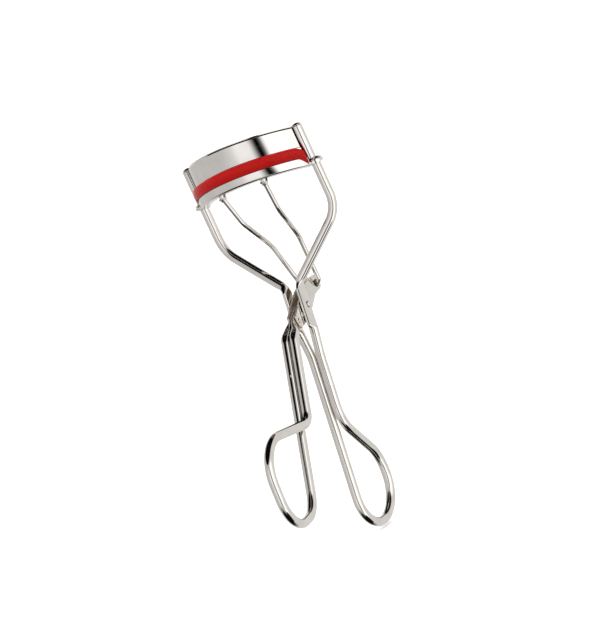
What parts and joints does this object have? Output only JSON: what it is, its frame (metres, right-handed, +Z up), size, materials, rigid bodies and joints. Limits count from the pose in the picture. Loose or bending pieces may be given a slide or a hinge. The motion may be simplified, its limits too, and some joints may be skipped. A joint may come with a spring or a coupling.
{
  "type": "eyelash curler",
  "caption": "Hand-held wire eyelash curler: scissor handles with finger loops lift a padded lower jaw up two guide posts to a curved metal band.",
  "frame": {"origin": "middle of the bottom of the closed curler's bounding box, under the lower tip of the fixed finger loop's level", "axes": "+Z up along the two guide posts, from the finger loops to the jaws; +X across the head, parallel to the pivot rivet; -Y to the front, the side that the finger loops lean to and the jaws bulge to"},
  "size_m": [0.0414, 0.069, 0.1107],
  "materials": {
    "nickel_wire": "polished nickel plate",
    "nickel_sheet": "polished nickel plate",
    "rivet_steel": "bright, tumbled",
    "pad_silicone": "smooth red silicone"
  },
  "bodies": {
    "frame": {"frame_wire": "nickel_wire", "upper_band": "nickel_sheet", "pivot_rivet": "rivet_steel"},
    "lever": {"lever_wire": "nickel_wire", "lever_bracket": "nickel_sheet", "lever_rivet_1": "rivet_steel", "lever_rivet_2": "rivet_steel"},
    "jaw": {"pad_channel": "nickel_sheet", "lash_pad": "pad_silicone", "yoke_wire": "nickel_wire", "yoke_ferrule_left": "rivet_steel", "yoke_ferrule_right": "rivet_steel", "guide_eyelet_left": "rivet_steel", "guide_eyelet_right": "rivet_steel"}
  },
  "joints": [
    {"name": "lever_pivot", "type": "hinge", "parent": "frame", "child": "lever", "pos_m": [0, 0.02042, 0.06256], "axis": [-1, 0, 0], "range_deg": [0, 36]},
    {"name": "jaw_slide", "type": "slide", "parent": "frame", "child": "jaw", "axis": [0, 0, -1], "range_m": [0, 0.0073]}
  ],
  "couplings": [
    {"joint": "jaw_slide", "follows": "lever_pivot", "m_per_rad": 0.0115}
  ]
}
